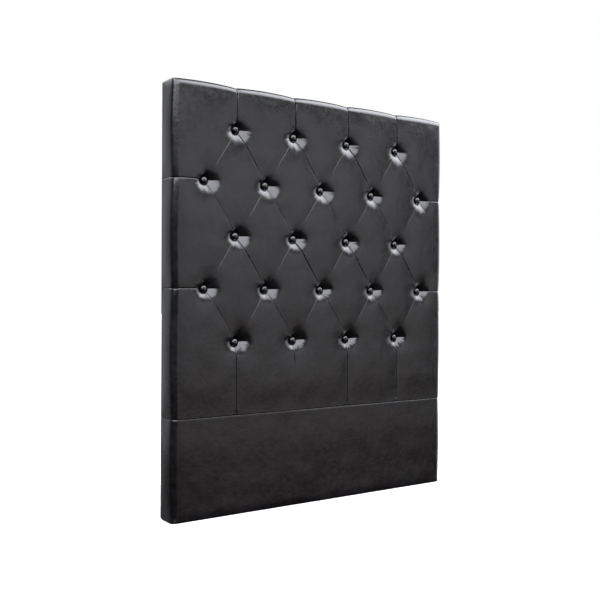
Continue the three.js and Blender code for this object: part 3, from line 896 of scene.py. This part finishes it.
def softwood(name, squeeze):
    """Planed softwood. `squeeze` draws its rings out along the piece."""
    n = Nodes(name)
    drawn = n.add("Mapping", {"Vector": n.place(), "Scale": squeeze})
    rings = n.add("TexNoise", {"Vector": drawn, "Scale": 14.0, "Detail": 5.0, "Distortion": 0.6}, "Fac")
    return n.shaded({
        "Base Color": n.ramp(rings, (0.35, (0.36, 0.22, 0.11)), (0.65, (0.66, 0.48, 0.29))),
        "Roughness": 0.7,
        "Normal": n.bump(rings, 0.2, 0.4 * MM),
    })


def chipboard():
    """Pressed chips, each its own brown."""
    n = Nodes("chipboard")
    chips = n.add("TexVoronoi", {"Vector": n.place(), "Scale": 160.0})
    tone = n.add("SeparateColor", {0: chips.node.outputs["Color"]})
    return n.shaded({
        "Base Color": n.ramp(tone, (0.1, (0.24, 0.15, 0.08)), (0.9, (0.55, 0.4, 0.24))),
        "Roughness": 0.8,
        "Normal": n.bump(chips, 0.3, 0.4 * MM),
    })


def nonwoven():
    """Thin black cloth pressed with a close pattern of dots, and its fibres."""
    n = Nodes("black_nonwoven_cloth")
    flat = n.add("Mapping", {"Vector": n.place(), "Scale": (1, 0, 1)})
    dots = n.add("TexVoronoi", {"Vector": flat, "Scale": 420.0, "Randomness": 0.12})
    fibres = n.noise(700, 4, 0.75)
    return n.shaded({
        "Base Color": n.ramp(fibres, (0.3, (0.009, 0.009, 0.01)), (0.75, (0.03, 0.03, 0.032))),
        "Roughness": n.ramp(dots, (0.2, 0.7), (0.6, 0.92)),
        "Sheen Weight": 0.25,
        "Normal": n.bump(fibres, 0.4, 0.3 * MM, n.bump(dots, 0.5, 0.4 * MM)),
    })


def zinc(name):
    """Spangled zinc with fine scratches."""
    n = Nodes(name)
    spangle = n.noise(180, 3, 0.6)
    return n.shaded({
        "Base Color": n.ramp(spangle, (0.3, (0.5, 0.51, 0.52)), (0.7, (0.66, 0.67, 0.68))),
        "Roughness": n.ramp(spangle, (0.3, 0.3), (0.7, 0.45)),
        "Metallic": 1.0,
        "Normal": n.bump(n.noise(1400, 2, 0.5), 0.1, 0.1 * MM),
    })


def speckled(name, scale, dark, light, roughness, strength, distance):
    """A dull material with fine specks, which are its relief too."""
    n = Nodes(name)
    specks = n.noise(scale, 2, 0.5)
    return n.shaded({
        "Base Color": n.ramp(specks, (0.3, dark), (0.7, light)),
        "Roughness": roughness,
        "Normal": n.bump(specks, strength, distance),
    })


# --- The pieces ---

def make_covers(leather):
    for cover, nodes, fill in (
        (tufted_cover(), ("tufted_cover", "tufted_foam"), 0.7),
        (skirt_cover(), ("skirt_cover", "skirt_foam"), 0.8),
    ):
        made = mesh_object(cover.name, *cover_mesh(cover))
        piece(made, leather, "leatherette", *nodes)


def band(start, sides):
    """The faces between a closed row of points, whose first is start, and the row after it."""
    near = [(start + k, start + (k + 1) % sides) for k in range(sides)]
    return [(a, b, b + sides, a + sides) for a, b in near]


def lathe(tip, rows):
    """Points and faces round the Y axis: a tip, then rows of (radius, y), each with one for every side."""
    sides = len(rows[0])
    points = [tip]
    for row in rows:
        for k, (r, y) in enumerate(row):
            turn = tau * k / sides
            points.append((r * cos(turn), y, r * sin(turn)))
    faces = [(0, 1 + (k + 1) % sides, 1 + k) for k in range(sides)]
    for j in range(len(rows) - 1):
        faces += band(1 + j * sides, sides)
    return points, faces


def button_mesh(seed):
    """A covered button: a smooth dome whose cover is gathered in small folds round its rim."""
    radius, rim = 9.5 * MM, 3.2 * MM
    phase = np.random.default_rng(seed).uniform(0, tau)
    profile = []  # each (radius, y, how far it is gathered)
    for i in range(1, 13):
        turn = i / 12 * pi / 2
        y = -rim - (BUTTON_HEIGHT - rim) * cos(turn) ** 0.85
        profile.append((radius * sin(turn), y, 0.0 if i < 10 else 0.15))
    under = ((0.99, 0.6, 0.5), (0.94, 0.3, 1.0), (0.82, 0.1, 1.0), (0.6, 0.02, 0.6), (0.2, 0.0, 0.0))
    profile += [(radius * wide, -rim * high, gathered) for wide, high, gathered in under]
    ripples = [1 + cos(BUTTON_FOLDS * tau * k / BUTTON_SIDES + phase) for k in range(BUTTON_SIDES)]
    rows = [[(r * (1 - 0.018 * gathered * ripple), y) for ripple in ripples] for r, y, gathered in profile]
    points, faces = lathe((0.0, -BUTTON_HEIGHT, 0.0), rows)
    faces = [(face[0], *face[:0:-1]) for face in faces]
    end, ring = len(points), len(points) - BUTTON_SIDES
    points.append((0.0, 0.0, 0.0))
    faces += [(end, ring + (k + 1) % BUTTON_SIDES, ring + k) for k in range(BUTTON_SIDES)]
    return points, faces


def make_buttons(leather):
    rng = np.random.default_rng(SEED + 4)
    for row in BUTTON_NODES:
        for node in row:
            made = mesh_object("covered_" + node, *button_mesh(rng.integers(1000)))
            tip, lean = (Matrix.Rotation(rng.normal(0, 0.04), 4, axis) for axis in "XZ")
            middle = centre(node)
            place = (middle.x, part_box(node)[0].y + BUTTON_HEIGHT, middle.z)
            made.matrix_world = Matrix.Translation(place) @ tip @ lean
            piece(made, leather, "leatherette", node)


def off_frame(x, z):
    """How far each place is from the nearest of the frame's pieces, seen from behind."""
    nearest = np.full_like(x, 1.0)
    for node in FRAME_NODES:
        low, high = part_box(node)
        dx = np.maximum(np.maximum(low.x - x, x - high.x), 0)
        dz = np.maximum(np.maximum(low.z - z, z - high.z), 0)
        nearest = np.minimum(nearest, np.hypot(dx, dz))
    return nearest


def dust_cloth_lines(low, high, windows):
    """The places of the cloth's grid lines along one axis: close together in its hem, and on each window's
    edges."""
    hem = [0, 0.6 * MM, 3 * MM, HEM - 2 * MM, HEM - 0.4 * MM, HEM + 0.4 * MM, HEM + 3 * MM]
    ends = [low + v for v in hem] + [high - v for v in hem]
    inner = np.linspace(low, high, round((high - low) / CLOTH_GRID) + 1)
    clear = [v for v in inner if min(v - low, high - v) > HEM + 6 * MM]
    clear = [v for v in clear if all(abs(v - w) > 3 * MM for w in windows)]
    return np.array(sorted({*ends, *clear, *windows}))


def cloth_shape(low, high, x, z):
    """Where the cloth's places lie: sunk between the frame's pieces, and pulled in between its staples."""
    from_side, from_end = np.minimum(x - low.x, high.x - x), np.minimum(z - low.z, high.z - z)
    rim, on_sides = np.minimum(from_side, from_end), from_side < from_end
    off = off_frame(x, z)
    sunk = CLOTH_SINK * (1 - np.exp(-off / (30 * MM)))
    sunk += eased(off, 0, 110 * MM) * cloth_creases(x, z)
    sunk -= HEM_RISE * (1 - eased(rim, HEM - 0.5 * MM, HEM + 0.5 * MM))
    along = np.where(on_sides, z - low.z, x - low.x)
    full = np.where(on_sides, high.z - low.z, high.x - low.x)
    gaps = np.round(full / STAPLE_PITCH)
    slack = SCALLOP * np.sin(np.pi * along / full * gaps) ** 2 * np.exp(-rim / (9 * MM))
    inward = slack * np.clip((full / 2 - np.abs(along - full / 2)) / (20 * MM), 0, 1)
    toward_x = np.where(on_sides, np.sign(-x), 0) * inward
    toward_z = np.where(on_sides, 0, np.sign((low.z + high.z) / 2 - z)) * inward
    return np.column_stack([x + toward_x, high.y - sunk, z + toward_z])


def make_dust_cover():
    """The thin cloth stapled over the back, with a window behind each keyhole."""
    low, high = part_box("dust_cover")
    openings = [(centre(plate).x, centre(plate).z) for plate in PLATES]
    across = dust_cloth_lines(low.x, high.x, [x + s * WINDOW_HALF for x, _ in openings for s in (-1, 1)])
    up = dust_cloth_lines(low.z, high.z, [openings[0][1] + v for v in WINDOW_SPAN])

    def in_window(x, z):
        below, above = WINDOW_SPAN
        return any(abs(x - ox) < WINDOW_HALF and below < z - oz < above for ox, oz in openings)

    x, z = (a.ravel() for a in np.meshgrid(across, up, indexing="ij"))
    faces = []
    for i in range(len(across) - 1):
        for k in range(len(up) - 1):
            if not in_window((across[i] + across[i + 1]) / 2, (up[k] + up[k + 1]) / 2):
                a, b = i * len(up) + k, (i + 1) * len(up) + k
                faces.append((a, a + 1, b + 1, b))
    cloth = mesh_object("dust_cover_cloth", cloth_shape(low, high, x, z), faces)
    shell = cloth.modifiers.new("thickness", "SOLIDIFY")
    shell.thickness = high.y - low.y
    shell.offset = -1
    piece(cloth, nonwoven(), "dust_cloth", "dust_cover")


def cloth_creases(x, z):
    """Slack waves and the faint square folds that the cloth was packed in."""
    found = waves(np.random.default_rng(SEED + 5), 14, 90, 320, x, z)
    total = sum(0.28 * MM * wave for _, wave in found)
    for place, pitch in ((x, 240 * MM), (z, 290 * MM)):
        apart = np.abs(np.mod(place + pitch * 0.31, pitch) - pitch / 2)
        total -= 0.5 * MM * np.exp(-apart / (7 * MM))
    return total


def staple_places():
    """Where each staple lies on the hem, as (x, z, how far it is turned from level)."""
    rng = np.random.default_rng(SEED + 6)
    low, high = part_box("dust_cover")
    level_edges = (True, low.x, high.x, (low.z, high.z))
    upright_edges = (False, low.z, high.z, (low.x, high.x))
    found = []
    for level, start, end, walls in (level_edges, upright_edges):
        count = round((end - start) / STAPLE_PITCH)
        for wall, inward in zip(walls, (1, -1)):
            for k in range(count):
                along = start + (end - start) * (k + 0.5) / count + rng.uniform(-3, 3) * MM
                beside = wall + inward * (HEM / 2 + rng.uniform(-1, 1) * MM)
                turn = rng.normal(0, 0.09) + (0 if level else pi / 2)
                found.append((along, beside, turn) if level else (beside, along, turn))
    return found


def make_staples():
    """One piece for all the staples: flat wire crowns with their bends, and the starts of their legs."""
    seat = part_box("dust_cover")[1].y + HEM_RISE
    sides = len(STAPLE_WIRE)
    points, faces = [], []
    for x, z, turn in staple_places():
        base = len(points)
        for i, (along, out) in enumerate(STAPLE_PATH):
            before, after = STAPLE_PATH[max(i - 1, 0)], STAPLE_PATH[min(i + 1, len(STAPLE_PATH) - 1)]
            bend = atan2(after[1] - before[1], after[0] - before[0])
            for side, depth in STAPLE_WIRE:
                u, y = along - depth * sin(bend), out + depth * cos(bend)
                px = x + (u * cos(turn) - side * sin(turn)) * MM
                pz = z + (u * sin(turn) + side * cos(turn)) * MM
                points.append((px, seat + y * MM, pz))
        for start in range(base, len(points) - sides, sides):
            faces += band(start, sides)
        faces.append(tuple(range(base + sides - 1, base - 1, -1)))
        faces.append(tuple(range(len(points) - sides, len(points))))
    made = mesh_object("dust_cover_staples", points, faces, smooth=False)
    piece(made, zinc("staple_wire"), "steel")


def screw_mesh(length):
    """A countersunk wood screw along -Y from its head at 0, with a cross recess and a threaded shank."""
    head, shank, sink = 4 * MM, 2 * MM, 2 * MM
    rows = []
    for r in (head * i / SCREW_RINGS for i in range(1, SCREW_RINGS + 1)):
        rows.append([(r, -cross_recess(r, tau * k / SCREW_SIDES)) for k in range(SCREW_SIDES)])
    profile = [(head * 0.99, -0.25 * MM), (shank * 1.05, -sink - 0.2 * MM), (shank, -7 * MM)]
    for i in range(round((length - 11 * MM) / THREAD_PITCH)):
        y = -8 * MM - i * THREAD_PITCH
        profile += [(shank * wide, y - down * THREAD_PITCH) for wide, down in SCREW_THREAD]
    profile += [(shank * 0.6, -length + 2.4 * MM), (0.1 * MM, -length)]
    rows += [[place] * SCREW_SIDES for place in profile]
    points, faces = lathe((0.0, -cross_recess(0, 0), 0.0), rows)
    faces.append(tuple(range(len(points) - SCREW_SIDES, len(points))))
    return points, faces


def cross_recess(r, turn):
    """How deep the driver's cross is at a place on a screw's head."""
    along, beside = abs(r * cos(turn)), abs(r * sin(turn))
    arm, off = max(along, beside), min(along, beside)
    return 1.5 * MM * float(1 - eased(off, 0.45 * MM, 0.75 * MM)) * float(1 - eased(arm, 1.6 * MM, 2.4 * MM))


def make_hardware():
    """The hanging plates and foot pads, which keep their CAD shape with rounded arrises, and the screws."""
    metal = zinc("zinc_plate")
    for node in PLATES:
        soften_edges(node, 0.35 * MM, metal)
    plastic = speckled("black_plastic", 1100, (0.014,) * 3, (0.024, 0.024, 0.025), 0.55, 0.3, 0.15 * MM)
    for node in FOOT_PADS:
        soften_edges(node, 0.8 * MM, plastic)
    rng = np.random.default_rng(SEED + 7)
    for node in SCREWS:
        low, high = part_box(node)
        made = mesh_object("cross_head_" + node, *screw_mesh(high.y - low.y))
        place = Matrix.Translation((centre(node).x, high.y, centre(node).z))
        made.matrix_world = place @ Matrix.Rotation(rng.uniform(0, pi / 2), 4, "Y")
        piece(made, metal, "steel", node)


def soften_edges(name, width, material):
    """Rounds a CAD node's arrises with modifiers, and gives it a material."""
    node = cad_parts[name]
    node.modifiers.new("weld", "WELD").merge_threshold = 0.01 * MM
    bevel = node.modifiers.new("arris", "BEVEL")
    bevel.width = width
    bevel.segments = 2
    bevel.limit_method = "ANGLE"
    bevel.angle_limit = radians(50)
    dress(name, material)


def dress(name, material):
    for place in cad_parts[name].material_slots:
        place.material = material


def dress_frame():
    """The parts inside, which keep their CAD shapes."""
    level, upright = softwood("softwood_level", (1, 6, 6)), softwood("softwood_upright", (6, 6, 1))
    for name in FRAME_NODES:
        low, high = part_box(name)
        dress(name, upright if high.z - low.z > high.x - low.x else level)
    dress("front_board", chipboard())
    waxed = speckled("waxed_twine", 900, (0.5, 0.45, 0.34), (0.72, 0.67, 0.54), 0.8, 0.5, 0.3 * MM)
    for name in TWINES:
        dress(name, waxed)


# --- The camera, the floor and the world ---

def make_camera():
    camera = bpy.data.objects.new("camera", bpy.data.cameras.new("camera"))
    bpy.context.scene.collection.objects.link(camera)
    camera.data.sensor_width = 36
    camera.data.lens = CAMERA_LENS
    camera.matrix_world = (
        Matrix.Translation(CAMERA_PLACE)
        @ Matrix.Rotation(CAMERA_YAW, 4, "Z")
        @ Matrix.Rotation(pi / 2 + CAMERA_PITCH, 4, "X")
        @ Matrix.Rotation(CAMERA_ROLL, 4, "Z")
    )
    bpy.context.scene.camera = camera


def make_floor():
    n = Nodes("studio_floor")
    pale = n.ramp(n.noise(40, 2, 0.5), (0.3, 0.86), (0.7, 0.9))
    floor = mesh_object("floor", [(-30, -30, 0), (30, -30, 0), (30, 30, 0), (-30, 30, 0)], [(0, 1, 2, 3)])
    floor.data.materials.append(n.shaded({"Base Color": pale, "Roughness": 0.9}))
    floor.visible_glossy = floor.visible_diffuse = False


def way(azimuth, elevation=0.0):
    """A direction, from degrees round from +X and degrees up."""
    azimuth, elevation = radians(azimuth), radians(elevation)
    flat = cos(elevation)
    return (cos(azimuth) * flat, sin(azimuth) * flat, sin(elevation))


def make_world():
    """White to the camera. To everything else it is dark below, bright along a part of the horizon, and lit
    by soft boxes."""
    n = Nodes("studio", "worlds")
    bpy.context.scene.world = n.made
    direction = n.add("TexCoord", out="Generated")
    up = n.add("SeparateXYZ", {0: direction}, "Z")
    horizon = n.ramp(n.spread(up, -1, 1, "LINEAR"), *HORIZON)
    towards = n.spread(n.along(direction, way(BRIGHT_AZIMUTH)), *BRIGHT_REACH)
    glow = n.scaled(horizon, n.math("MULTIPLY_ADD", towards, 1 - DIM_SHARE, DIM_SHARE))
    boxes = 0.0
    for azimuth, elevation, reach, soft, lowest, edge, radiance in SOFT_BOXES:
        wide, narrow = cos(radians(reach + soft)), cos(radians(reach - soft))
        inside = n.spread(n.along(direction, way(azimuth, elevation)), wide, narrow)
        inside = n.math("MULTIPLY", inside, n.spread(up, lowest - edge, lowest + edge))
        boxes = n.math("MAXIMUM", boxes, n.math("MULTIPLY", inside, radiance))
    total = n.add("VectorMath", {0: glow, 1: n.scaled(BOX_COLOUR, boxes)}, operation="ADD")
    studio = n.add("Background", {"Color": total})
    white = n.add("Background", {"Color": (1, 1, 1, 1)})
    seen = n.add("LightPath", out="Is Camera Ray")
    mix = n.add("MixShader", {0: seen, 1: studio, 2: white})
    n.feed(n.tree.nodes["World Output"], {"Surface": mix})


make_camera()
make_floor()
make_world()
leather = leatherette()
make_covers(leather)
make_buttons(leather)
make_dust_cover()
make_staples()
make_hardware()
dress_frame()

bpy.context.scene.view_settings.view_transform = "Standard"
